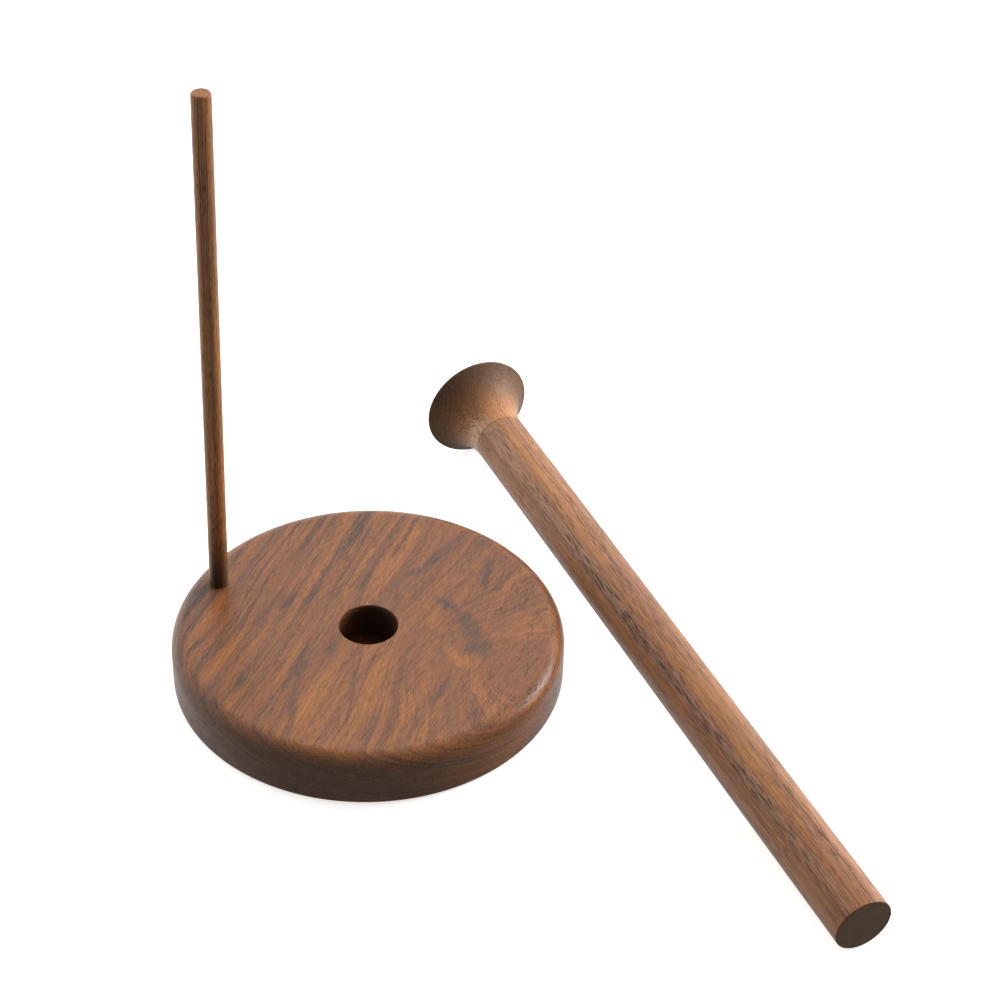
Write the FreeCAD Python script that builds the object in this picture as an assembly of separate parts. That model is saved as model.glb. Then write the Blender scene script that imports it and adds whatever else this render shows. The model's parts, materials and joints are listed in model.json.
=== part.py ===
import FreeCAD, Part
import math
import os

# A standing kitchen-roll holder in turned walnut, taken apart: the base with its tension arm, and the
# lift-out post lying on the table beside it. Millimetres, +Z up. The origin is the centre of the base
# at table level, and the tension arm stands on the -X side.

# Base slab, standing on four pads
BASE_RADIUS = 75.0
BASE_THICKNESS = 21.0
TOP_ROUND = 7.0  # round-over of the upper edge
BOTTOM_ROUND = 1.5  # eased lower edge

# Anti-slip pads, sunk into shallow recesses in the underside
PAD_RADIUS = 8.0
PAD_THICKNESS = 2.0
PAD_PROUD = 0.6  # how far the pads lift the slab off the table
PAD_EDGE_ROUND = 0.4
PAD_CIRCLE_RADIUS = 56.0
PAD_RECESS_GAP = 0.15
PAD_BEARINGS = {"back_right": 45.0, "back_left": 135.0, "front_left": 225.0, "front_right": 315.0}

# Tension arm, glued into the base and leaning a little towards the roll
ARM_RADIUS = 3.65
ARM_FOOT_RADIUS = 63.5  # from the base's centre to the arm's axis, at the slab's top face
ARM_TOP_HEIGHT = 236.8  # above the table
ARM_LEAN = 1.32  # degrees from upright
ARM_GLUED_DEPTH = 13.0
ARM_TOP_CHAMFER = 0.85

# Post: a plain shaft and a trumpet-shaped head, joined by a hidden dowel
POST_RADIUS = 11.05
SHAFT_LENGTH = 288.1
SHAFT_END_CHAMFER = 0.4
GLUE_LINE_CHAMFER = 0.12  # fine groove round the neck, where shaft and head meet
RIM_RADIUS = 22.62  # widest line of the head
RIM_HEIGHT = 24.3  # from the glue line up to the widest line
RIM_ROUND = 0.8  # edge of the rim
CROWN_RISE = 2.6  # top of the dome above the widest line
DOWEL_RADIUS = 4.0
DOWEL_LENGTH = 36.0
DOWEL_CHAMFER = 0.6
DOWEL_HOLE_SPARE = 1.0  # room for glue at each end of the dowel
FLUTE_COUNT = 16
FLUTE_RADIUS = 0.45
FLUTE_DEPTH = 0.3

# Socket in the base that the post drops into
SOCKET_CLEARANCE = 0.25  # radial
SOCKET_DEPTH = 15.0
SOCKET_CHAMFER = 0.4
CENTRE_MARK_RADIUS = 1.6  # left by the point of the flat-bottomed drill
CENTRE_MARK_DEPTH = 1.2

# Where the post lies: its bottom end's place on the table, and the way its head points
LYING_END_X = 213.4
LYING_END_Y = -65.7
LYING_HEADING = 137.0  # degrees from +X

SLAB_UNDERSIDE = PAD_PROUD
SLAB_TOP = PAD_PROUD + BASE_THICKNESS
ORIGIN = FreeCAD.Vector(0, 0, 0)
UP = FreeCAD.Vector(0, 0, 1)


def edges_at_height(shape, height):
    """The circular edges of a turned shape that lie wholly at one height."""
    near = 1e-4
    found = []
    for edge in shape.Edges:
        box = edge.BoundBox
        if abs(box.ZMin - height) < near and abs(box.ZMax - height) < near:
            found.append(edge)
    return found


def pad_centre(bearing, height):
    """A point on the pads' circle, at a bearing in degrees from +X."""
    angle = math.radians(bearing)
    return FreeCAD.Vector(
        PAD_CIRCLE_RADIUS * math.cos(angle), PAD_CIRCLE_RADIUS * math.sin(angle), height
    )


def arm_direction():
    """The arm's axis, from its foot to its top."""
    lean = math.radians(ARM_LEAN)
    return FreeCAD.Vector(math.sin(lean), 0, math.cos(lean))


def arm_glued_end():
    """The centre of the arm's lower end, at the bottom of its hole."""
    foot = FreeCAD.Vector(-ARM_FOOT_RADIUS, 0, SLAB_TOP)
    return foot - arm_direction() * ARM_GLUED_DEPTH


def socket_cutter():
    """The socket, its chamfered mouth and the drill's centre mark, as one tool."""
    radius = POST_RADIUS + SOCKET_CLEARANCE
    floor_height = SLAB_TOP - SOCKET_DEPTH
    floor_centre = FreeCAD.Vector(0, 0, floor_height)
    bore = Part.makeCylinder(radius, SOCKET_DEPTH, floor_centre)
    mouth_base = FreeCAD.Vector(0, 0, SLAB_TOP - SOCKET_CHAMFER)
    mouth = Part.makeCone(radius, radius + SOCKET_CHAMFER, SOCKET_CHAMFER, mouth_base)
    mark_tip = FreeCAD.Vector(0, 0, floor_height - CENTRE_MARK_DEPTH)
    mark = Part.makeCone(0, CENTRE_MARK_RADIUS, CENTRE_MARK_DEPTH, mark_tip)
    return [bore, mouth, mark]


def make_base():
    """The slab with its rounded edges, the socket, the arm's hole and the pads' recesses."""
    slab = Part.makeCylinder(BASE_RADIUS, BASE_THICKNESS, FreeCAD.Vector(0, 0, SLAB_UNDERSIDE))
    slab = slab.makeFillet(TOP_ROUND, edges_at_height(slab, SLAB_TOP))
    slab = slab.makeFillet(BOTTOM_ROUND, edges_at_height(slab, SLAB_UNDERSIDE))
    cutters = socket_cutter()
    hole_length = ARM_GLUED_DEPTH + 2 * ARM_RADIUS
    cutters.append(Part.makeCylinder(ARM_RADIUS, hole_length, arm_glued_end(), arm_direction()))
    recess_depth = PAD_THICKNESS - PAD_PROUD
    for bearing in PAD_BEARINGS.values():
        centre = pad_centre(bearing, SLAB_UNDERSIDE)
        cutters.append(Part.makeCylinder(PAD_RADIUS + PAD_RECESS_GAP, recess_depth, centre))
    for cutter in cutters:
        slab = slab.cut(cutter)
    return slab


def make_side_arm():
    """The thin rod that the roll's loose end is torn against."""
    lean = math.radians(ARM_LEAN)
    length = ARM_GLUED_DEPTH + (ARM_TOP_HEIGHT - SLAB_TOP) / math.cos(lean)
    rod = Part.makeCylinder(ARM_RADIUS, length, ORIGIN, UP)
    rod = rod.makeChamfer(ARM_TOP_CHAMFER, edges_at_height(rod, length))
    rod.rotate(ORIGIN, FreeCAD.Vector(0, 1, 0), ARM_LEAN)
    rod.translate(arm_glued_end())
    return rod


def make_foot_pad(bearing):
    """One round rubber pad with an eased lower edge."""
    pad = Part.makeCylinder(PAD_RADIUS, PAD_THICKNESS, pad_centre(bearing, 0))
    return pad.makeFillet(PAD_EDGE_ROUND, edges_at_height(pad, 0))


def dowel_hole(height):
    """The dowel's hole on one side of the glue line, from that height up."""
    depth = DOWEL_LENGTH / 2 + DOWEL_HOLE_SPARE
    return Part.makeCylinder(DOWEL_RADIUS, depth, FreeCAD.Vector(0, 0, height))


def make_shaft():
    """The plain shaft, upright, with its bottom end at the origin."""
    shaft = Part.makeCylinder(POST_RADIUS, SHAFT_LENGTH, ORIGIN, UP)
    shaft = shaft.makeChamfer(SHAFT_END_CHAMFER, edges_at_height(shaft, 0))
    shaft = shaft.makeChamfer(GLUE_LINE_CHAMFER, edges_at_height(shaft, SHAFT_LENGTH))
    return shaft.cut(dowel_hole(SHAFT_LENGTH - DOWEL_LENGTH / 2 - DOWEL_HOLE_SPARE))


def on_section(radius, height):
    """A point of a turned outline, in the plane through the axis."""
    return FreeCAD.Vector(radius, 0, height)


def make_head():
    """The trumpet head: a hollow curve that leaves the shaft in line with it, a thin rim and a low dome."""
    rim_centre_radius = RIM_RADIUS - RIM_ROUND
    rim_height = SHAFT_LENGTH + RIM_HEIGHT
    # the flare's circle touches the shaft's side at the glue line and the rim's small circle
    reach = rim_centre_radius - POST_RADIUS
    flare_radius = (RIM_HEIGHT**2 + reach**2 - RIM_ROUND**2) / (2 * (reach + RIM_ROUND))
    flare_centre_radius = POST_RADIUS + flare_radius
    flare_end = math.atan2(RIM_HEIGHT, flare_centre_radius - rim_centre_radius)
    # the dome's circle is centred on the axis and holds the rim's small circle
    dome_radius = (rim_centre_radius**2 + CROWN_RISE**2 - RIM_ROUND**2) / (2 * (CROWN_RISE - RIM_ROUND))
    dome_centre_height = rim_height + CROWN_RISE - dome_radius
    dome_start = math.atan2(rim_centre_radius, rim_height - dome_centre_height)

    def flare_point(angle):
        radius = flare_centre_radius - flare_radius * math.cos(angle)
        return on_section(radius, SHAFT_LENGTH + flare_radius * math.sin(angle))

    def dome_point(angle):
        height = dome_centre_height + dome_radius * math.cos(angle)
        return on_section(dome_radius * math.sin(angle), height)

    crown = dome_point(0)
    foot = on_section(0, SHAFT_LENGTH)
    neck = on_section(POST_RADIUS, SHAFT_LENGTH)
    outline = [
        Part.LineSegment(foot, neck),
        Part.Arc(neck, flare_point(flare_end / 2), flare_point(flare_end)),
        Part.Arc(flare_point(flare_end), on_section(RIM_RADIUS, rim_height), dome_point(dome_start)),
        Part.Arc(dome_point(dome_start), dome_point(dome_start / 2), crown),
        Part.LineSegment(crown, foot),
    ]
    section = Part.Face(Part.Wire([curve.toShape() for curve in outline]))
    head = section.revolve(ORIGIN, UP, 360)
    head = head.makeChamfer(GLUE_LINE_CHAMFER, edges_at_height(head, SHAFT_LENGTH))
    return head.cut(dowel_hole(SHAFT_LENGTH))


def make_dowel():
    """The fluted dowel, half in the shaft and half in the head."""
    bottom = SHAFT_LENGTH - DOWEL_LENGTH / 2
    dowel = Part.makeCylinder(DOWEL_RADIUS, DOWEL_LENGTH, FreeCAD.Vector(0, 0, bottom))
    ends = edges_at_height(dowel, bottom) + edges_at_height(dowel, bottom + DOWEL_LENGTH)
    dowel = dowel.makeChamfer(DOWEL_CHAMFER, ends)
    flute_axis_radius = DOWEL_RADIUS + FLUTE_RADIUS - FLUTE_DEPTH
    for index in range(FLUTE_COUNT):
        angle = 2 * math.pi * index / FLUTE_COUNT
        start = FreeCAD.Vector(
            flute_axis_radius * math.cos(angle), flute_axis_radius * math.sin(angle), bottom
        )
        dowel = dowel.cut(Part.makeCylinder(FLUTE_RADIUS, DOWEL_LENGTH, start))
    return dowel


def lay_down(shape):
    """Lay a piece of the upright post on the table, resting on its bottom edge and its rim."""
    run = SHAFT_LENGTH + RIM_HEIGHT - SHAFT_END_CHAMFER
    drop = RIM_RADIUS - RIM_ROUND - POST_RADIUS
    slope = math.atan2(drop, run) + math.asin(RIM_ROUND / math.hypot(run, drop))
    end_height = POST_RADIUS * math.cos(slope) - SHAFT_END_CHAMFER * math.sin(slope)
    shape.rotate(ORIGIN, FreeCAD.Vector(0, 1, 0), 90 - math.degrees(slope))
    shape.rotate(ORIGIN, UP, LYING_HEADING)
    shape.translate(FreeCAD.Vector(LYING_END_X, LYING_END_Y, end_height))
    return shape


def main():
    """Build every piece and write one STEP file for each."""
    pieces = {"base": make_base(), "side_arm": make_side_arm()}
    for place, bearing in PAD_BEARINGS.items():
        pieces["foot_pad_" + place] = make_foot_pad(bearing)
    pieces["post_shaft"] = lay_down(make_shaft())
    pieces["post_head"] = lay_down(make_head())
    pieces["head_dowel"] = lay_down(make_dowel())
    os.makedirs("parts", exist_ok=True)
    for name, shape in pieces.items():
        solid = shape.Solids[0]
        solid.exportStep("parts/" + name + ".step")
        print(name, round(solid.Volume / 1000, 2), "cm3, valid", solid.isValid(), len(shape.Solids))


main()
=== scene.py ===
"""A standing kitchen-roll holder in oiled walnut, taken apart, with the post lying beside the base."""

import json
import logging
import math
from dataclasses import dataclass
from enum import Enum
from typing import Iterable, Optional, Sequence, Union

import bmesh
import bpy
from mathutils import Matrix, Vector


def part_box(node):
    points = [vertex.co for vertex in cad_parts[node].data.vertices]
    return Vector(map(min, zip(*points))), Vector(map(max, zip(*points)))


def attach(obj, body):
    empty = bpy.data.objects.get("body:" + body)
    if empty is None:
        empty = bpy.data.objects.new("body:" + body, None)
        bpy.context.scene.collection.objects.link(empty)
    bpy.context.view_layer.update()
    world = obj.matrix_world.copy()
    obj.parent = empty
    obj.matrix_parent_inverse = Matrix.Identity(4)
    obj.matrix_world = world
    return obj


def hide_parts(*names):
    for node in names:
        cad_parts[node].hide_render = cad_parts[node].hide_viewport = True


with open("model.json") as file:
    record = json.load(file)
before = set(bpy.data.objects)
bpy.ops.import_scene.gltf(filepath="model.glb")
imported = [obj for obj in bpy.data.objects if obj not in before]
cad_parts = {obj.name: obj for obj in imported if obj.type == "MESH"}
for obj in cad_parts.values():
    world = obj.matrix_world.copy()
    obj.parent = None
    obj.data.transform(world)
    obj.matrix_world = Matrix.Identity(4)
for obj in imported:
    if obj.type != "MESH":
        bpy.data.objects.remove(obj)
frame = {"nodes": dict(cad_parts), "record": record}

MM = 0.001
LOG = logging.getLogger("roll_holder")
SHARP_ANGLE = 35.0  # degrees between facets, from which an edge stays sharp
MERGE_DISTANCE = 1e-7  # metres between two points that are one
END_DEPTH = 0.3 * MM  # how deep a slice of a node's end is measured for its middle

Point = tuple[float, float]
Colour = tuple[float, float, float, float]
Number = Union["Value", float]


class Value:
    """A shader value that Python's arithmetic extends with Math nodes."""

    def __init__(self, shader: "Shader", socket: bpy.types.NodeSocket) -> None:
        """Keep the socket that carries the value."""
        self.shader = shader
        self.socket = socket

    def __add__(self, other: Number) -> "Value":
        """The sum."""
        return self.shader.math("ADD", self, other)

    def __radd__(self, other: Number) -> "Value":
        """The sum, with a plain number first."""
        return self.shader.math("ADD", other, self)

    def __sub__(self, other: Number) -> "Value":
        """The difference."""
        return self.shader.math("SUBTRACT", self, other)

    def __rsub__(self, other: Number) -> "Value":
        """The difference, with a plain number first."""
        return self.shader.math("SUBTRACT", other, self)

    def __mul__(self, other: Number) -> "Value":
        """The product."""
        return self.shader.math("MULTIPLY", self, other)

    def __rmul__(self, other: Number) -> "Value":
        """The product, with a plain number first."""
        return self.shader.math("MULTIPLY", other, self)

    def __pow__(self, other: Number) -> "Value":
        """The power."""
        return self.shader.math("POWER", self, other)

    def __abs__(self) -> "Value":
        """The size without the sign."""
        return self.shader.math("ABSOLUTE", self)


class Shader:
    """A node tree, with one method that makes every kind of node."""

    def __init__(self, owner: Union[bpy.types.Material, bpy.types.World]) -> None:
        """Start with an empty tree.

        Args:
            owner: the material or world that the tree belongs to.
        """
        self.owner = owner
        owner.use_nodes = True
        self.tree = owner.node_tree
        self.tree.nodes.clear()

    def node(
        self,
        kind: str,
        settings: Optional[dict] = None,
        inputs: Optional[dict] = None,
        output: Union[int, str, None] = 0,
    ) -> Optional["Value"]:
        """Make one node.

        Args:
            kind: the node's type without its ShaderNode prefix.
            settings: properties to set first; stops is a colour ramp's list of places and colours.
            inputs: a number, colour, vector or Value for each socket.
            output: the socket to hand back, or None for a node that has none.

        Returns:
            The chosen output as a Value.
        """
        made = self.tree.nodes.new("ShaderNode" + kind)
        for key, value in (settings or {}).items():
            if key == "stops":
                self._set_stops(made.color_ramp, value)
            else:
                setattr(made, key, value)
        for key, value in (inputs or {}).items():
            if isinstance(value, Value):
                self.tree.links.new(value.socket, made.inputs[key])
            else:
                made.inputs[key].default_value = value
        return None if output is None else Value(self, made.outputs[output])

    @staticmethod
    def _set_stops(ramp: bpy.types.ColorRamp, stops: Sequence[tuple[float, Colour]]) -> None:
        """Give a colour ramp its stops."""
        while len(ramp.elements) < len(stops):
            ramp.elements.new(1.0)
        for element, (place, colour) in zip(ramp.elements, stops):
            element.position = place
            element.color = colour

    def math(self, operation: str, *operands: Number) -> Value:
        """A Math node on one or two operands."""
        return self.node("Math", {"operation": operation}, dict(enumerate(operands)))

    def vector(self, operation: str, *operands: Union[Value, Sequence[float]], output: int = 0) -> Value:
        """A Vector Math node on its operands."""
        return self.node("VectorMath", {"operation": operation}, dict(enumerate(operands)), output)

    def split(self, place: Value) -> tuple[Value, Value, Value]:
        """The three components of a vector."""
        parts = [self.node("SeparateXYZ", None, {0: place}, index) for index in range(3)]
        return parts[0], parts[1], parts[2]

    def join(self, x: Number, y: Number, z: Number) -> Value:
        """A vector from three components."""
        return self.node("CombineXYZ", None, {0: x, 1: y, 2: z})

    def noise(self, place: Value, detail: float = 2.0, roughness: float = 0.5) -> Value:
        """Soft noise between 0 and 1, one feature to each unit of place."""
        sockets = {"Vector": place, "Scale": 1.0, "Detail": detail, "Roughness": roughness}
        return self.node("TexNoise", None, sockets)

    def cells(self, place: Value) -> Value:
        """The distance to the nearest of the points scattered one to each unit of place."""
        return self.node("TexVoronoi", None, {"Vector": place, "Scale": 1.0})

    def rise(self, value: Number, low: float, high: float) -> Value:
        """A smooth step from 0 at low to 1 at high, or the other way round."""
        sockets = {"Value": value, "From Min": low, "From Max": high}
        return self.node("MapRange", {"interpolation_type": "SMOOTHSTEP"}, sockets)

    def mix(self, factor: Number, first: Union[Value, Colour], second: Union[Value, Colour]) -> Value:
        """One colour at factor 0 and the other at factor 1."""
        return self.node("Mix", {"data_type": "RGBA"}, {0: factor, 6: first, 7: second}, 2)

    def tint(self, colour: Value, amount: Number) -> Value:
        """A colour made darker or lighter by a number."""
        grey = self.join(amount, amount, amount)
        return self.vector("MULTIPLY", colour, grey)

    def finish(self, sockets: dict) -> bpy.types.Material:
        """Close the tree with a Principled shader.

        Args:
            sockets: the shader's socket values and links.

        Returns:
            The finished material.
        """
        surface = self.node("BsdfPrincipled", None, sockets)
        self.node("OutputMaterial", None, {"Surface": surface}, None)
        return self.owner


class Figure(Enum):
    """How a board's growth rings run."""

    STRAIGHT = "straight"
    CROTCH = "crotch"


@dataclass(frozen=True)
class Swell:
    """A bell-shaped region of a board's face, in millimetres, where a branch once grew."""

    across: float
    along: float
    spread: float

    def mask(self, shader: Shader, x: Value, y: Value) -> Value:
        """1 in the region's middle, falling off smoothly all round."""
        reach = (x - self.across) ** 2 + (y - self.along) ** 2
        return shader.math("EXPONENT", reach * (-0.5 / self.spread**2))


CALM = Swell(50, 0, 26)  # where streaks and dark lines fade
DOME = Swell(46, 2, 22)  # where the rings bulge
CURL = Swell(50, 4, 26)  # where they curl


@dataclass(frozen=True)
class Stock:
    """The piece of timber that a part is cut from: Y runs along the grain, Z faces out of the tree."""

    origin: Vector
    along: Vector
    facing: Vector

    def turn(self) -> Matrix:
        """The rotation from the timber's own axes to the frame's."""
        along = self.along.normalized()
        facing = (self.facing - self.facing.project(along)).normalized()
        across = along.cross(facing)
        return Matrix((across, along, facing)).transposed()

    def place(self, shader: Shader) -> Value:
        """A point of the timber in millimetres, in the timber's own axes."""
        sockets = {
            "Vector": shader.node("TexCoord", None, None, "Object"),
            "Location": self.origin,
            "Rotation": self.turn().to_euler(),
            "Scale": (MM, MM, MM),
        }
        return shader.node("Mapping", {"vector_type": "TEXTURE"}, sockets)

    def cut_across(self, shader: Shader, low: float, high: float) -> Value:
        """0 where the surface runs along the grain, rising to 1 where it cuts straight across it."""
        facing = shader.node("TexCoord", None, None, "Normal")
        across = abs(shader.vector("DOT_PRODUCT", facing, self.along.normalized(), output=1))
        return shader.rise(across, low, high)


class Tone(Enum):
    """What a mark does to the timber's colour; the pale tone is painted highlight."""

    DARK = "dark"
    WARM = "warm"
    # painted highlight: lightens the wood towards the pale colour where light catches it
    PAINTED_HIGHLIGHT = "pale"
    OPEN = "open"


@dataclass(frozen=True)
class Mark:
    """A soft-edged patch in the timber's figure, or of painted shade or painted highlight, longest along the
    grain; sizes in millimetres.
    """

    tone: Tone
    across: float
    along: float
    half_width: float
    half_length: float
    lean: float = 0.0
    strength: float = 1.0
    depth: float = 0.0
    half_depth: float = 30.0

    def mask(self, shader: Shader, place: Value) -> Value:
        """1 in the patch's middle, falling to 0 at its edge."""
        sockets = {
            "Vector": place,
            "Location": (self.across, self.along, self.depth),
            "Rotation": (0.0, 0.0, math.radians(self.lean)),
            "Scale": (self.half_width, self.half_length, self.half_depth),
        }
        lie = shader.node("Mapping", {"vector_type": "TEXTURE"}, sockets)
        return shader.rise(shader.vector("LENGTH", lie, output=1), 1.25, 0.25) * self.strength


@dataclass(frozen=True)
class Walnut:
    """Oiled walnut, as solid timber: rings, streaks, fibres and open pores run right through it."""

    name: str
    stock: Stock
    figure: Figure = Figure.STRAIGHT
    orange: Colour = (0.378, 0.134, 0.024, 1.0)
    brown: Colour = (0.228, 0.085, 0.026, 1.0)
    red: Colour = (0.248, 0.080, 0.027, 1.0)
    grey: Colour = (0.074, 0.043, 0.034, 1.0)
    # the colour of the painted highlight that the pale marks lay on
    pale: Colour = (0.520, 0.275, 0.160, 1.0)
    end_tone: Colour = (0.148, 0.100, 0.074, 1.0)
    pore: Colour = (0.032, 0.017, 0.011, 1.0)
    ring_tilt: float = 14.0
    band_width: float = 3.2
    band_length: float = 150.0
    streak_length: float = 140.0
    line_width: float = 0.26
    line_length: float = 110.0
    hair_width: float = 2.2
    hair_length: float = 120.0
    hairs: float = 0.0
    fibre_width: float = 0.42
    fibre_length: float = 5.0
    streaks: float = 0.55
    lines: float = 0.62
    fibres: float = 0.80
    pores: float = 0.8
    pore_length: float = 5.0
    pore_width: float = 0.38
    end_shade: float = 0.7
    end_from: float = 0.25
    end_to: float = 0.95
    relief: float = 0.16
    gloss: float = 0.34
    # how much painted shade darkens the wood deep in the socket
    socket_shade: float = 0.0
    marks: tuple[Mark, ...] = ()

    def material(self) -> bpy.types.Material:
        """Build the finish.

        Returns:
            The material.
        """
        shader = Shader(bpy.data.materials.new(self.name))
        place = self.stock.place(shader)
        ring = self._ring(shader, place)
        along = shader.split(place)[1]
        band = self._layer(shader, ring, along, self.band_width, self.band_length, 0.0, 2.0, 0.55)
        streak = self._layer(shader, ring, along, self.band_width / 3.6, self.streak_length, 7.0)
        line = self._layer(shader, ring, along, self.line_width, self.line_length, 3.0, 2.0, 0.6)
        hair = self._layer(shader, ring, along, self.hair_width, self.hair_length, 11.0, 1.0)
        cloud = shader.noise(self._stretch(shader, place, 5, 48, 5), 3.0, 0.6)
        fibre = shader.noise(
            self._stretch(shader, place, self.fibre_width, self.fibre_length, self.fibre_width), 3.0, 0.8
        )
        crowd = shader.rise(shader.noise(self._stretch(shader, place, 3.5, 30, 3.5), 2.0), 0.38, 0.62)
        dark = shader.rise(streak, 0.52, 0.72) * self.streaks
        hair = shader.rise(abs(hair - 0.5), 0.045, 0.008) * self.hairs * (0.4 + crowd * 0.6)
        if self.figure is Figure.CROTCH:
            x, y, _ = shader.split(place)
            calm = 1 - CALM.mask(shader, x, y) * 0.8
            dark = dark * calm
            hair = hair * calm * (0.35 + shader.rise(x, 14, -24) * 0.65)
        dark = shader.math("MAXIMUM", dark, hair)
        bent = self._ragged(shader, place)
        dark = self._marked(shader, bent, Tone.DARK, dark)
        warm = self._marked(shader, bent, Tone.WARM, shader.rise(band * 0.6 + cloud * 0.4, 0.42, 0.68) * 0.7)
        pore = self._pores(shader, place, self._marked(shader, bent, Tone.OPEN, crowd * 0.6), dark)

        colour = shader.mix(shader.rise(cloud, 0.35, 0.7), self.brown, self.red)
        colour = shader.mix(warm, colour, self.orange)
        # Painted highlight: the pale marks lighten the wood where light catches it.
        colour = shader.mix(self._marked(shader, bent, Tone.PAINTED_HIGHLIGHT, 0.0), colour, self.pale)
        colour = shader.mix(dark, colour, self.grey)
        end = self.stock.cut_across(shader, self.end_from, self.end_to)
        colour = shader.mix(end * self.end_shade, colour, self.end_tone)
        colour = shader.tint(colour, 1 + (line - 0.5) * self.lines * 2 + (fibre - 0.5) * self.fibres * 2)
        colour = shader.mix(pore * self.pores, colour, self.pore)
        # Painted shade: the wood deep in the socket is darkened, where little light reaches.
        if self.socket_shade:
            colour = shader.tint(colour, 1 - self._socket_shade_mask(shader, place) * self.socket_shade)

        rough = self.gloss + (fibre - 0.5) * 0.25 + pore * 0.3 + end * 0.2
        height = fibre * 0.35 + line * 0.15 - pore
        normal = shader.node("Bump", None, {"Strength": 0.8, "Distance": self.relief * MM, "Height": height})
        sockets = {"Base Color": colour, "Roughness": rough, "Normal": normal, "Specular IOR Level": 0.3}
        return shader.finish(sockets)

    @staticmethod
    def _layer(
        shader: Shader,
        ring: Value,
        along: Value,
        width: float,
        length: float,
        seed: float,
        detail: float = 2.0,
        roughness: float = 0.5,
    ) -> Value:
        """Noise that follows the rings.

        Args:
            shader: the tree to add it to.
            ring: how far out in the tree a point grew, in millimetres.
            along: how far along the grain it lies.
            width: the features' width across the rings.
            length: their length along the grain.
            seed: tells one layer from another.
            detail: how many finer layers are added.
            roughness: how strong those are.

        Returns:
            The noise, between 0 and 1.
        """
        place = shader.join(ring * (1 / width), along * (1 / length), seed)
        return shader.noise(place, detail, roughness)

    @staticmethod
    def _stretch(shader: Shader, place: Value, across: float, along: float, deep: float) -> Value:
        """Place measured in features of the given size in millimetres."""
        return shader.vector("MULTIPLY", place, (1 / across, 1 / along, 1 / deep))

    def _ragged(self, shader: Shader, place: Value) -> Value:
        """Place with a little wander, which gives the marks their uneven edges."""
        fine = self._stretch(shader, place, 4, 14, 4)
        shift = shader.node("TexNoise", None, {"Vector": fine, "Scale": 1.0, "Detail": 3.0}, "Color")
        shift = shader.vector("SUBTRACT", shift, (0.5, 0.5, 0.5))
        shift = shader.vector("MULTIPLY", shift, (3.4, 12.0, 0.0))
        return shader.vector("ADD", place, shift)

    def _marked(self, shader: Shader, bent: Value, tone: Tone, ground: Number) -> Number:
        """The ground's value with the marks of one tone laid over it."""
        for mark in self.marks:
            if mark.tone is tone:
                ground = shader.math("MAXIMUM", ground, mark.mask(shader, bent))
        return ground

    def _ring(self, shader: Shader, place: Value) -> Value:
        """How far out in the tree a point grew, in millimetres, with the rings' waves and knots."""
        x, y, z = shader.split(place)
        tilt = math.radians(self.ring_tilt)
        wave = shader.noise(self._stretch(shader, place, 40, 110, 40), 2.0, 0.5) - 0.5
        ripple = shader.noise(self._stretch(shader, place, 6, 26, 6), 2.0, 0.5) - 0.5
        ring = x * math.sin(tilt) + z * math.cos(tilt) + wave * 3.0 + ripple * 0.45
        if self.figure is Figure.CROTCH:
            ring = ring + DOME.mask(shader, x, y) * 7.5
            curl = shader.noise(self._stretch(shader, place, 9, 16, 9), 2.0, 0.55) - 0.5
            ring = ring + curl * CURL.mask(shader, x, y) * 3.0
        return ring

    @staticmethod
    def _socket_shade_mask(shader: Shader, place: Value) -> Value:
        """1 well inside the socket at the board's middle, where painted shade darkens the deep walls, and 0
        elsewhere.
        """
        x, y, z = shader.split(place)
        reach = shader.vector("LENGTH", shader.join(x, y, 0.0), output=1)
        return shader.rise(reach, 12.4, 11.6) * shader.rise(z, -0.2, -3.0)

    def _pores(self, shader: Shader, place: Value, crowd: Value, dark: Value) -> Value:
        """Open pores along the grain: many small ones, and fewer long ones where they crowd together."""
        width = self.pore_width
        length = self.pore_length
        small = shader.cells(self._stretch(shader, place, width, length, width)) - crowd * 0.08
        large = shader.cells(self._stretch(shader, place, width * 1.6, length * 1.8, width * 1.6))
        short = shader.rise(small, 0.33, 0.25) * (0.16 + crowd * 0.84)
        long = shader.rise(large, 0.25, 0.19) * (0.12 + shader.math("MAXIMUM", crowd, dark) * 0.88)
        return shader.math("MAXIMUM", short, long)


@dataclass(frozen=True)
class Beech:
    """Bare beech, pale and plain, with short dark flecks."""

    name: str
    stock: Stock

    def material(self) -> bpy.types.Material:
        """Build the finish."""
        shader = Shader(bpy.data.materials.new(self.name))
        place = self.stock.place(shader)
        grain = shader.noise(shader.vector("MULTIPLY", place, (2.2, 0.08, 2.2)), 3.0, 0.6)
        fleck = shader.rise(shader.cells(shader.vector("MULTIPLY", place, (1.4, 0.5, 1.4))), 0.2, 0.1)
        colour = shader.mix(grain, (0.52, 0.33, 0.18, 1.0), (0.66, 0.45, 0.27, 1.0))
        colour = shader.mix(fleck * 0.6, colour, (0.30, 0.15, 0.07, 1.0))
        height = {"Strength": 0.5, "Distance": 0.08 * MM, "Height": grain - fleck}
        normal = shader.node("Bump", None, height)
        return shader.finish({"Base Color": colour, "Roughness": 0.7, "Normal": normal})


@dataclass(frozen=True)
class Rubber:
    """Matt black rubber with a fine moulded grain."""

    name: str

    def material(self) -> bpy.types.Material:
        """Build the finish."""
        shader = Shader(bpy.data.materials.new(self.name))
        place = shader.node("TexCoord", None, None, "Object")
        grain = shader.cells(shader.vector("MULTIPLY", place, (1600, 1600, 1600)))
        dust = shader.rise(shader.noise(shader.vector("MULTIPLY", place, (160, 160, 160)), 3.0), 0.45, 0.75)
        colour = shader.mix(dust * 0.5, (0.016, 0.016, 0.017, 1.0), (0.045, 0.043, 0.041, 1.0))
        normal = shader.node("Bump", None, {"Strength": 0.5, "Distance": 0.06 * MM, "Height": grain})
        rough = 0.72 + dust * 0.15
        return shader.finish({"Base Color": colour, "Roughness": rough, "Normal": normal})


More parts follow.
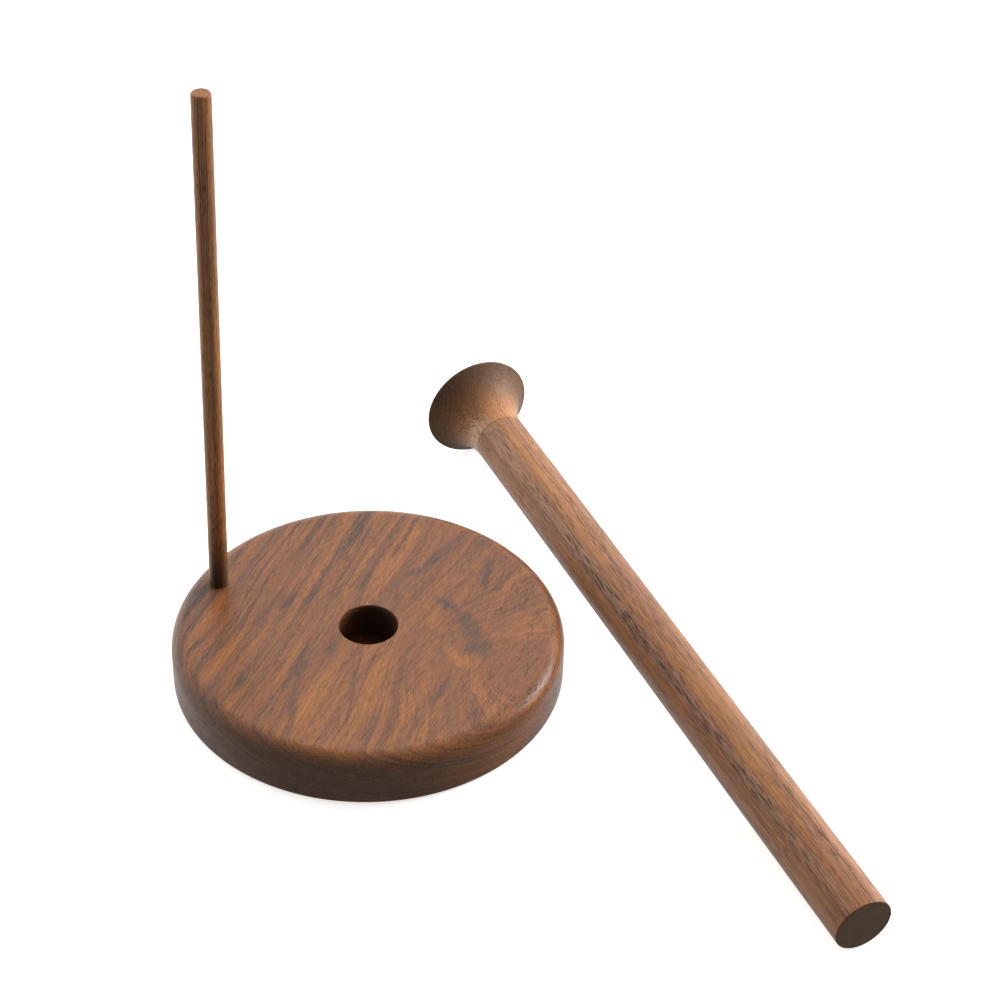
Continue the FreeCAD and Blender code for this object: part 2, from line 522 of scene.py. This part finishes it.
def arc(centre: Point, radius: float, start: float, end: float, steps: int) -> list[Point]:
    """The points of an arc in an outline.

    Args:
        centre: the arc's centre, as a distance from the axis and a height.
        radius: its radius.
        start: the first angle in degrees, from straight out.
        end: the last angle.
        steps: how many chords it has.

    Returns:
        The points, ends included.
    """
    angles = [math.radians(start + (end - start) * step / steps) for step in range(steps + 1)]
    return [(centre[0] + radius * math.cos(a), centre[1] + radius * math.sin(a)) for a in angles]


def run(start: Point, end: Point, steps: int) -> list[Point]:
    """Evenly spaced points of a straight stretch of an outline, ends included."""
    shares = [step / steps for step in range(steps + 1)]
    return [(start[0] + (end[0] - start[0]) * s, start[1] + (end[1] - start[1]) * s) for s in shares]


def turned(name: str, outline: Iterable[Point], place: Matrix, facets: int) -> bpy.types.Object:
    """Turn an outline on the lathe.

    Args:
        name: the piece's name.
        outline: distances from the axis and heights, from the axis round to the axis.
        place: where the lathe's axis, its own +Z, lies in the frame.
        facets: how many facets go round.

    Returns:
        The finished piece.
    """
    work = bmesh.new()
    points = [work.verts.new((distance, 0, height)) for distance, height in outline]
    edges = [work.edges.new(pair) for pair in zip(points, points[1:])]
    bmesh.ops.spin(
        work,
        geom=points + edges,
        cent=(0, 0, 0),
        axis=(0, 0, 1),
        angle=math.tau,
        steps=facets,
        use_merge=True,
    )
    bmesh.ops.remove_doubles(work, verts=work.verts, dist=MERGE_DISTANCE)
    bmesh.ops.recalc_face_normals(work, faces=work.faces)
    bmesh.ops.transform(work, matrix=place, verts=work.verts)
    mesh = bpy.data.meshes.new(name)
    work.to_mesh(mesh)
    work.free()
    piece = bpy.data.objects.new(name, mesh)
    bpy.context.scene.collection.objects.link(piece)
    smooth(piece)
    return piece


def smooth(piece: bpy.types.Object) -> None:
    """Shade a piece smoothly up to its real edges."""
    piece.data.shade_smooth()
    piece.data.set_sharp_from_angle(angle=math.radians(SHARP_ANGLE))


def carve(piece: bpy.types.Object, cutters: Sequence[bpy.types.Object]) -> None:
    """Cut the cutters out of a piece, and remove them.

    Args:
        piece: the piece that gets the holes.
        cutters: closed shapes, which are used up.
    """
    for cutter in cutters:
        hole = piece.modifiers.new("hole", "BOOLEAN")
        hole.operation = "DIFFERENCE"
        hole.solver = "EXACT"
        hole.object = cutter
    graph = bpy.context.evaluated_depsgraph_get()
    cut = bpy.data.meshes.new_from_object(piece.evaluated_get(graph))
    piece.modifiers.clear()
    piece.data = cut
    for cutter in cutters:
        bpy.data.objects.remove(cutter)
    smooth(piece)


def axis_place(start: Vector, direction: Vector) -> Matrix:
    """The move from the lathe, whose axis is +Z, to an axis in the frame."""
    return Matrix.Translation(start) @ direction.to_track_quat("Z", "Y").to_matrix().to_4x4()


def end_centre(node: str, direction: Vector) -> Vector:
    """The middle of the end that a CAD node turns to a direction."""
    corners = [vertex.co for vertex in frame["nodes"][node].data.vertices]
    far = max(corner.dot(direction) for corner in corners)
    end = [corner for corner in corners if corner.dot(direction) > far - END_DEPTH]
    low = Vector(min(corner[i] for corner in end) for i in range(3))
    high = Vector(max(corner[i] for corner in end) for i in range(3))
    return (low + high) / 2


def mount(name: str) -> dict:
    """One of the record's mounts, by name."""
    return next(entry for entry in frame["record"]["mounts"] if entry["name"] == name)


def dress(piece: bpy.types.Object, material: bpy.types.Material) -> None:
    """Give a piece one material all over."""
    piece.data.materials.clear()
    piece.data.materials.append(material)


def report(piece: bpy.types.Object) -> None:
    """Say what a piece came out as."""
    LOG.info("%s: %d faces", piece.name, len(piece.data.polygons))


# Each mark: tone, place across and along the grain, half width and half length, lean, strength, and for
# the turned parts its depth and half depth.
BASE_MARKS = (
    Mark(Tone.DARK, -27.3, 50, 2.6, 26, 0, 0.85),
    Mark(Tone.DARK, -27.5, 18, 1.6, 24, 0, 0.50),
    Mark(Tone.DARK, -45.5, -25, 1.1, 28, 0, 0.60),
    Mark(Tone.DARK, -47.8, -8, 0.9, 22, 0, 0.50),
    Mark(Tone.DARK, -42.8, 35, 1.9, 11, 0, 0.50),
    Mark(Tone.DARK, -36.0, 47, 1.2, 10, 0, 0.35),
    Mark(Tone.DARK, -39.5, -5, 1.1, 16, 0, 0.35),
    Mark(Tone.DARK, -18.8, 40, 1.1, 30, 0, 0.40),
    Mark(Tone.DARK, -18.6, 14, 1.1, 16, 0, 0.50),
    Mark(Tone.DARK, -11.2, 24, 1.7, 20, 5, 0.70),
    Mark(Tone.DARK, 9.8, 56, 2.2, 14, -14, 0.55),
    Mark(Tone.DARK, 7.5, 45, 2.2, 9, -8, 0.70),
    Mark(Tone.DARK, 4.2, 37, 2.6, 7, -30, 0.70),
    Mark(Tone.DARK, 2.5, 21, 1.0, 9, 21, 0.50),
    Mark(Tone.DARK, 23.0, 23.5, 3.0, 9, 59, 0.62),
    Mark(Tone.DARK, 33.0, 17.5, 4.4, 9, 50, 0.68),
    Mark(Tone.DARK, 39.0, 11.0, 5.4, 9, 42, 0.62),
    Mark(Tone.DARK, 43.5, 4.5, 6.5, 7, 30, 0.70),
    Mark(Tone.DARK, 30.5, 45, 2.5, 13, 16, 0.75),
    Mark(Tone.DARK, 33.5, 28, 2.6, 12, 5, 0.35),
    Mark(Tone.DARK, -12.5, -31, 1.4, 14, 7, 0.60),
    Mark(Tone.DARK, -8.0, -50, 1.9, 14, 20, 0.60),
    Mark(Tone.DARK, -2.5, -64, 1.5, 8, 8, 0.50),
    Mark(Tone.DARK, 6.5, -25, 1.3, 11, 12, 0.60),
    Mark(Tone.DARK, 12.0, -43, 1.6, 14, 19, 0.60),
    Mark(Tone.DARK, 25.5, -23, 1.2, 8, 27, 0.45),
    Mark(Tone.DARK, 40.0, -25, 1.9, 11, 0, 0.60),
    Mark(Tone.DARK, 38.5, -46, 1.3, 11, 0, 0.50),
    Mark(Tone.DARK, 55.0, -28, 1.5, 7, 30, 0.45),
    Mark(Tone.DARK, -61.0, -27, 1.9, 11, 10, 0.40),
    Mark(Tone.WARM, -6.5, 56, 3.6, 16, 0, 0.80),
    Mark(Tone.WARM, -9.0, 36, 3.8, 16, -8, 0.90),
    Mark(Tone.WARM, -46.0, 42, 1.9, 14, 0, 0.60),
    Mark(Tone.WARM, -42.5, -38, 2.0, 24, 0, 0.80),
    Mark(Tone.WARM, -18.0, -35, 2.7, 24, 5, 0.60),
    Mark(Tone.WARM, -2.0, -52, 4.3, 19, 10, 0.80),
    Mark(Tone.WARM, 20.0, -36, 5.0, 16, 15, 0.65),
    Mark(Tone.WARM, 39.0, -4, 3.8, 10, 60, 0.80),
    Mark(Tone.WARM, 55.0, 22, 7.0, 10, 20, 0.50),
    Mark(Tone.WARM, 62.0, -24, 2.5, 11, -10, 0.60),
    Mark(Tone.WARM, 22.0, 13, 6.0, 8, 40, 0.50),
)
ARM_MARKS = (
    # Painted shade: the rod is darker near its foot, where the base shades it.
    Mark(Tone.DARK, 0.0, 14.0, 6.0, 26, 0, 0.97),
    Mark(Tone.DARK, 0.6, 110, 1.1, 150, 0, 0.25, 3.4),
)
POST_MARKS = (
    # The pale marks are painted highlight along the upper side of the shaft, strongest towards the head.
    Mark(Tone.PAINTED_HIGHLIGHT, -6.6, 275, 3.6, 60, 0, 0.85, 8.6, 5.0),
    Mark(Tone.PAINTED_HIGHLIGHT, -5.6, 240, 12.0, 110, 0, 0.22, 9.5, 12.0),
    Mark(Tone.OPEN, -7.4, 110, 3.6, 190, 0, 1.0, 8.2, 3.6),
    Mark(Tone.OPEN, 2.2, 40, 3.2, 60, 0, 1.0, 10.8, 3.0),
    Mark(Tone.OPEN, 0.5, 195, 2.4, 40, 0, 0.9, 11.0, 3.0),
    Mark(Tone.PAINTED_HIGHLIGHT, -6.6, 60, 2.6, 110, 0, 0.38, 8.8, 3.0),
    Mark(Tone.PAINTED_HIGHLIGHT, -7.0, 225, 2.6, 90, 0, 0.80, 8.6, 3.0),
    Mark(Tone.PAINTED_HIGHLIGHT, 6.5, 40, 3.4, 90, 0, 0.25, 9.0, 3.4),
    Mark(Tone.WARM, -2.5, 250, 4.6, 90, 0, 1.0, 10.6, 3.2),
    Mark(Tone.WARM, 4.5, 265, 3.0, 50, 0, 0.8, 10.0, 3.0),
    Mark(Tone.WARM, -2.8, 90, 2.6, 90, 0, 0.8, 10.6, 3.0),
    Mark(Tone.WARM, -10.4, 225, 3.6, 100, 0, 0.85, 2.0, 5.0),
    Mark(Tone.DARK, -10.9, 215, 1.3, 70, 0, 0.25, 1.9, 1.6),
    Mark(Tone.DARK, -7.4, 120, 1.2, 150, 0, 0.35, 8.2, 1.2),
)
HEAD_MARKS = (
    Mark(Tone.DARK, 0.0, 312.6, 60, 2.8, 0, 0.85, 0.0, 60),
    # The pale mark is a painted highlight on the neck.
    Mark(Tone.PAINTED_HIGHLIGHT, -6.0, 290, 8.0, 8, 0, 0.85, -9.0, 8.0),
    Mark(Tone.OPEN, -8.0, 296, 6.0, 14, 0, 1.0, -8.0, 8.0),
)
PAD_NODES = ("foot_pad_front_left", "foot_pad_front_right", "foot_pad_back_left", "foot_pad_back_right")


@dataclass
class TensionArm:
    """The thin rod that the roll's loose end is torn against."""

    radius: float = 3.65 * MM
    top_ease: float = 0.95 * MM
    foot_ease: float = 0.3 * MM
    facets: int = 64

    def __post_init__(self) -> None:
        """Take the axis from the frame."""
        self.top = end_centre("side_arm", Vector((0, 0, 1)))
        self.foot = end_centre("side_arm", Vector((0, 0, -1)))
        self.direction = (self.top - self.foot).normalized()

    def outline(self, spare: float = 0.0) -> list[Point]:
        """The rod's outline, or with spare the drill's that makes its hole."""
        radius = self.radius
        length = (self.top - self.foot).length + spare
        points = [(0.0, 0.0)] + run((radius - self.foot_ease, 0.0), (radius, self.foot_ease), 2)
        points += run((radius, self.foot_ease), (radius, length - self.top_ease), 20)[1:]
        crown = arc((radius - self.top_ease, length - self.top_ease), self.top_ease, 0, 90, 8)
        return points + crown[1:] + [(0.0, length)]

    def build(self) -> bpy.types.Object:
        """Turn the rod and finish it."""
        piece = turned("tension_arm", self.outline(), axis_place(self.foot, self.direction), self.facets)
        stock = Stock(self.foot, self.direction, Vector((0.5, -1, 0)))
        finish = Walnut(
            "arm_walnut_oiled",
            stock,
            # Lighter walnut than the base's, and raised further as painted light: these colours stand in for
            # the light the rod catches.
            orange=(0.640, 0.262, 0.072, 1.0),
            brown=(0.420, 0.180, 0.064, 1.0),
            red=(0.425, 0.172, 0.064, 1.0),
            grey=(0.080, 0.044, 0.028, 1.0),
            end_tone=(0.400, 0.165, 0.062, 1.0),
            ring_tilt=60,
            band_width=1.3,
            streaks=0.85,
            end_shade=0.9,
            end_from=0.93,
            end_to=0.99,
            marks=ARM_MARKS,
        )
        dress(piece, finish.material())
        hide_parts("side_arm")
        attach(piece, "stand")
        report(piece)
        return piece


@dataclass
class Base:
    """The round slab with its blind socket, and the pads under it."""

    arm: TensionArm
    top_round: float = 7.0 * MM
    bottom_round: float = 1.5 * MM
    mouth_ease: float = 0.4 * MM
    mark_radius: float = 1.6 * MM
    mark_depth: float = 1.2 * MM
    recess_gap: float = 0.15 * MM
    hold: float = 0.4 * MM
    facets: int = 256
    hole_facets: int = 64

    def outline(self) -> list[Point]:
        """The slab's outline, from the middle of its underside to the middle of the socket's floor."""
        low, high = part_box("base")
        radius = (high.x - low.x) / 2
        bore = mount("post_socket")["dims"]
        socket = bore["r_mm"] * MM
        floor = high.z - bore["length_mm"] * MM - self.mouth_ease
        flat = radius - self.top_round
        mouth = socket + self.mouth_ease
        under = radius - self.bottom_round
        points = [(0.0, low.z), (under - self.hold, low.z)]
        points += arc((under, low.z + self.bottom_round), self.bottom_round, -90, 0, 8)
        points += run((radius, low.z + self.bottom_round), (radius, high.z - self.top_round), 3)[1:-1]
        points += arc((flat, high.z - self.top_round), self.top_round, 0, 90, 24)
        points += [(flat - self.hold, high.z), (mouth + self.hold, high.z)]
        points += arc((mouth, high.z - self.mouth_ease), self.mouth_ease, 90, 180, 6)
        points += [(socket, floor), (self.mark_radius, floor), (0.0, floor - self.mark_depth)]
        return points

    def build(self) -> bpy.types.Object:
        """Turn the slab, drill it for the arm, recess it for the pads and finish it."""
        piece = turned("base_slab", self.outline(), Matrix.Identity(4), self.facets)
        drill = self.arm.outline(spare=2 * self.arm.radius)
        hole = turned("drill", drill, axis_place(self.arm.foot, self.arm.direction), self.hole_facets)
        carve(piece, [hole] + [self.recess(node) for node in PAD_NODES])
        stock = Stock(Vector((0, 0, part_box("base")[1].z)), Vector((0, 1, 0)), Vector((0, 0, 1)))
        finish = Walnut(
            "base_walnut_oiled",
            stock,
            Figure.CROTCH,
            hairs=0.85,
            gloss=0.29,
            fibres=0.95,
            # painted shade inside the socket
            socket_shade=0.55,
            marks=BASE_MARKS,
        )
        dress(piece, finish.material())
        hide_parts("base")
        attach(piece, "stand")
        report(piece)
        return piece

    def recess(self, node: str) -> bpy.types.Object:
        """The cutter for one pad's recess."""
        low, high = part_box(node)
        radius = (high.x - low.x) / 2 + self.recess_gap
        depth = high.z - low.z
        outline = [(0.0, 0.0), (radius, 0.0), (radius, depth), (0.0, depth)]
        middle = (low + high) / 2
        place = Matrix.Translation((middle.x, middle.y, low.z))
        return turned("recess", outline, place, self.hole_facets)

    def dress_pads(self) -> None:
        """Give the four pads their rubber."""
        rubber = Rubber("pad_rubber_matt").material()
        for node in PAD_NODES:
            dress(frame["nodes"][node], rubber)
            report(frame["nodes"][node])


@dataclass
class Post:
    """The lift-out post: a plain shaft, a trumpet head and the dowel that joins them."""

    end_ease: float = 0.4 * MM
    glue_line: float = 0.12 * MM
    rim_round: float = 0.8 * MM
    crown_rise: float = 2.6 * MM
    rim_height: float = 24.3 * MM
    rim_radius: float = 22.62 * MM
    dowel_radius: float = 4.0 * MM
    dowel_hole: float = 19.0 * MM
    facets: int = 160

    def __post_init__(self) -> None:
        """Take the axis and the shaft's size from the frame."""
        spindle = mount("post_spindle")
        self.direction = -Vector(spindle["axis"]).normalized()
        self.radius = spindle["dims"]["r_mm"] * MM
        self.start = end_centre("post_shaft", -self.direction)
        self.seam = (end_centre("post_shaft", self.direction) - self.start).dot(self.direction)
        self.place = axis_place(self.start, self.direction)

    def shaft_outline(self) -> list[Point]:
        """The shaft's outline, from the middle of its bottom end to the bottom of the dowel's hole."""
        points = [(0.0, 0.0), (self.radius - 2 * self.end_ease, 0.0)]
        points += arc((self.radius - self.end_ease, self.end_ease), self.end_ease, -90, 0, 5)
        points += run((self.radius, self.end_ease), (self.radius, self.seam - self.glue_line), 36)[1:]
        points += [(self.radius - self.glue_line, self.seam), (self.dowel_radius, self.seam)]
        hole = self.seam - self.dowel_hole
        return points + [(self.dowel_radius, hole), (0.0, hole)]

    def head_outline(self) -> list[Point]:
        """The head's outline: the dowel's hole, the glue line, the flare, the rim and the low dome."""
        rim = (self.rim_radius - self.rim_round, self.seam + self.rim_height)
        reach = rim[0] - self.radius
        flare = (self.rim_height**2 + reach**2 - self.rim_round**2) / (2 * (reach + self.rim_round))
        flare_centre = (self.radius + flare, self.seam)
        flare_end = math.degrees(math.atan2(self.rim_height, flare_centre[0] - rim[0]))
        crown = self.crown_rise
        dome = (rim[0] ** 2 + crown**2 - self.rim_round**2) / (2 * (crown - self.rim_round))
        dome_centre = (0.0, rim[1] + crown - dome)
        dome_start = math.degrees(math.atan2(rim[1] - dome_centre[1], rim[0]))
        hole = self.seam + self.dowel_hole
        points = [(0.0, hole), (self.dowel_radius, hole), (self.dowel_radius, self.seam)]
        points += [(self.radius - self.glue_line, self.seam)]
        first = math.degrees(math.asin(self.glue_line / flare))
        points += arc(flare_centre, flare, 180 - first, 180 - flare_end, 40)
        points += arc(rim, self.rim_round, -flare_end, dome_start, 12)[1:]
        points += arc(dome_centre, dome, dome_start, 90, 16)[1:-1]
        return points + [(0.0, dome_centre[1] + dome)]

    def build(self) -> list[bpy.types.Object]:
        """Turn the shaft and the head, finish them, and dress the dowel."""
        shaft = turned("post_shaft_turned", self.shaft_outline(), self.place, self.facets)
        stock = Stock(self.start, self.direction, Vector((0, 0, 1)))
        finish = Walnut(
            "post_walnut_oiled",
            stock,
            orange=(0.450, 0.178, 0.044, 1.0),
            brown=(0.300, 0.126, 0.050, 1.0),
            red=(0.308, 0.118, 0.050, 1.0),
            ring_tilt=35,
            band_width=2.2,
            streaks=0.35,
            fibre_width=0.30,
            fibre_length=9.0,
            pores=0.9,
            pore_length=8.0,
            pore_width=0.33,
            end_tone=(0.160, 0.092, 0.048, 1.0),
            end_shade=0.96,
            relief=0.32,
            marks=POST_MARKS,
        )
        dress(shaft, finish.material())
        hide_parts("post_shaft")

        head = turned("post_head_turned", self.head_outline(), self.place, self.facets)
        head_stock = Stock(self.start, self.direction, Vector((1, 0.4, 0.2)))
        head_finish = Walnut(
            "head_walnut_oiled",
            head_stock,
            # Lighter walnut than the shaft's, and raised further as painted light: these colours stand in
            # for the light on the neck and right side.
            orange=(0.630, 0.272, 0.080, 1.0),
            brown=(0.525, 0.230, 0.092, 1.0),
            red=(0.525, 0.220, 0.090, 1.0),
            end_tone=(0.190, 0.100, 0.052, 1.0),
            end_shade=0.94,
            end_from=0.15,
            end_to=0.72,
            ring_tilt=25,
            band_width=2.6,
            streaks=0.32,
            lines=0.45,
            pores=0.6,
            pore_width=0.55,
            pore_length=6.0,
            # a lighter colour for the painted highlight on the neck
            pale=(0.720, 0.420, 0.240, 1.0),
            marks=HEAD_MARKS,
        )
        dress(head, head_finish.material())
        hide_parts("post_head")
        for piece in (shaft, head):
            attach(piece, "post")
            report(piece)
        dress(frame["nodes"]["head_dowel"], Beech("dowel_beech_bare", stock).material())
        report(frame["nodes"]["head_dowel"])
        return [shaft, head]


@dataclass(frozen=True)
class Viewpoint:
    """A camera standing in front of the holder and looking down on it."""

    spot: Vector
    heading: float
    pitch: float
    roll: float
    lens: float

    def build(self) -> bpy.types.Object:
        """Set the camera up and make it the scene's."""
        data = bpy.data.cameras.new("camera")
        data.sensor_width = 36.0
        data.lens = self.lens
        camera = bpy.data.objects.new("camera", data)
        yaw = Matrix.Rotation(math.radians(self.heading - 90), 4, "Z")
        tilt = Matrix.Rotation(math.radians(90 - self.pitch), 4, "X")
        roll = Matrix.Rotation(math.radians(self.roll), 4, "Z")
        camera.matrix_world = Matrix.Translation(self.spot) @ yaw @ tilt @ roll
        bpy.context.scene.collection.objects.link(camera)
        bpy.context.scene.camera = camera
        return camera


@dataclass(frozen=True)
class Glow:
    """A broad soft patch of white light, seen in one direction from the table."""

    FALLOFF = 6

    heading: float
    height: float
    strength: float

    def reach(self, shader: Shader, direction: Value) -> Value:
        """How strong the patch is in a direction."""
        turn = math.radians(self.heading)
        lift = math.radians(self.height)
        aim = (math.cos(turn) * math.cos(lift), math.sin(turn) * math.cos(lift), math.sin(lift))
        facing = shader.vector("DOT_PRODUCT", direction, aim, output=1)
        return shader.math("MAXIMUM", facing, 0.0) ** self.FALLOFF * self.strength


@dataclass
class Studio:
    """A white table in soft light from behind and from the left, with a little thrown back from below."""

    floor_size: float = 60.0
    floor_glow: float = 0.7
    window_heading: float = 42.0
    window_height: float = 22.0
    window_distance: float = 1.3
    window_size: float = 0.55
    window_power: float = 10.5
    window_aim: tuple[float, float, float] = (0.06, 0.04, 0.03)
    glows: tuple[Glow, ...] = (
        Glow(0, 90, 0.08),
        Glow(45, 45, 1.12),
        Glow(90, 45, 1.08),
        Glow(135, 45, 0.82),
        Glow(180, 45, 0.80),
        Glow(45, 8, 0.98),
        Glow(90, 8, 0.82),
        Glow(135, 8, 0.60),
        Glow(180, 8, 1.15),
        Glow(0, -30, 0.20),
        Glow(45, -30, 0.60),
        Glow(90, -30, 0.50),
        Glow(135, -30, 0.80),
        Glow(180, -30, 0.80),
        Glow(270, -30, 0.46),
        Glow(315, -30, 0.34),
    )

    def build(self) -> None:
        """Lay the floor and light it."""
        self.floor()
        self.sky()
        self.window()
        bpy.context.scene.view_settings.view_transform = "Standard"

    def floor(self) -> None:
        """A plain white table top, which takes faint shadows and throws none of its own light back."""
        work = bmesh.new()
        bmesh.ops.create_grid(work, x_segments=1, y_segments=1, size=self.floor_size / 2)
        mesh = bpy.data.meshes.new("floor")
        work.to_mesh(mesh)
        work.free()
        floor = bpy.data.objects.new("floor", mesh)
        bpy.context.scene.collection.objects.link(floor)
        floor.visible_diffuse = False
        floor.visible_glossy = False
        floor.visible_shadow = False
        shader = Shader(bpy.data.materials.new("floor_white"))
        pale = (1.0, 1.0, 1.0, 1.0)
        sockets = {
            "Base Color": pale,
            "Roughness": 1.0,
            "Emission Color": pale,
            "Emission Strength": self.floor_glow,
        }
        dress(floor, shader.finish(sockets))

    def window(self) -> None:
        """A softbox low on the right, behind the holder, which draws a sheen along the rounded edges."""
        turn = math.radians(self.window_heading)
        lift = math.radians(self.window_height)
        reach = Vector((math.cos(turn) * math.cos(lift), math.sin(turn) * math.cos(lift), math.sin(lift)))
        data = bpy.data.lights.new("window", "AREA")
        data.size = self.window_size
        data.energy = self.window_power
        lamp = bpy.data.objects.new("window", data)
        lamp.location = Vector(self.window_aim) + reach * self.window_distance
        lamp.rotation_euler = (-reach).to_track_quat("-Z", "Y").to_euler()
        bpy.context.scene.collection.objects.link(lamp)

    def sky(self) -> None:
        """Light the scene with the glows."""
        world = bpy.data.worlds.new("studio")
        bpy.context.scene.world = world
        shader = Shader(world)
        direction = shader.vector("NORMALIZE", shader.node("TexCoord", None, None, "Generated"))
        light: Number = 0.0
        for glow in self.glows:
            light = glow.reach(shader, direction) + light
        back = shader.node("Background", None, {"Color": (1.0, 1.0, 1.0, 1.0), "Strength": light})
        shader.node("OutputWorld", None, {"Surface": back}, None)


def corners(bounds: tuple[Vector, Vector]) -> list[list[float]]:
    """A box's two corners as plain lists."""
    return [list(bounds[0]), list(bounds[1])]


def main() -> None:
    """Build the holder and its studio."""
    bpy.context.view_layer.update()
    viewpoint = Viewpoint(
        spot=Vector((0.29383, -0.64300, 0.63406)),
        heading=110.594,
        pitch=37.969,
        roll=1.583,
        lens=88.0,
    )
    viewpoint.build()
    Studio().build()
    arm = TensionArm()
    base = Base(arm)
    base.build()
    base.dress_pads()
    arm.build()
    Post().build()


if __name__ == "__main__":
    logging.basicConfig(level=logging.INFO)
    main()
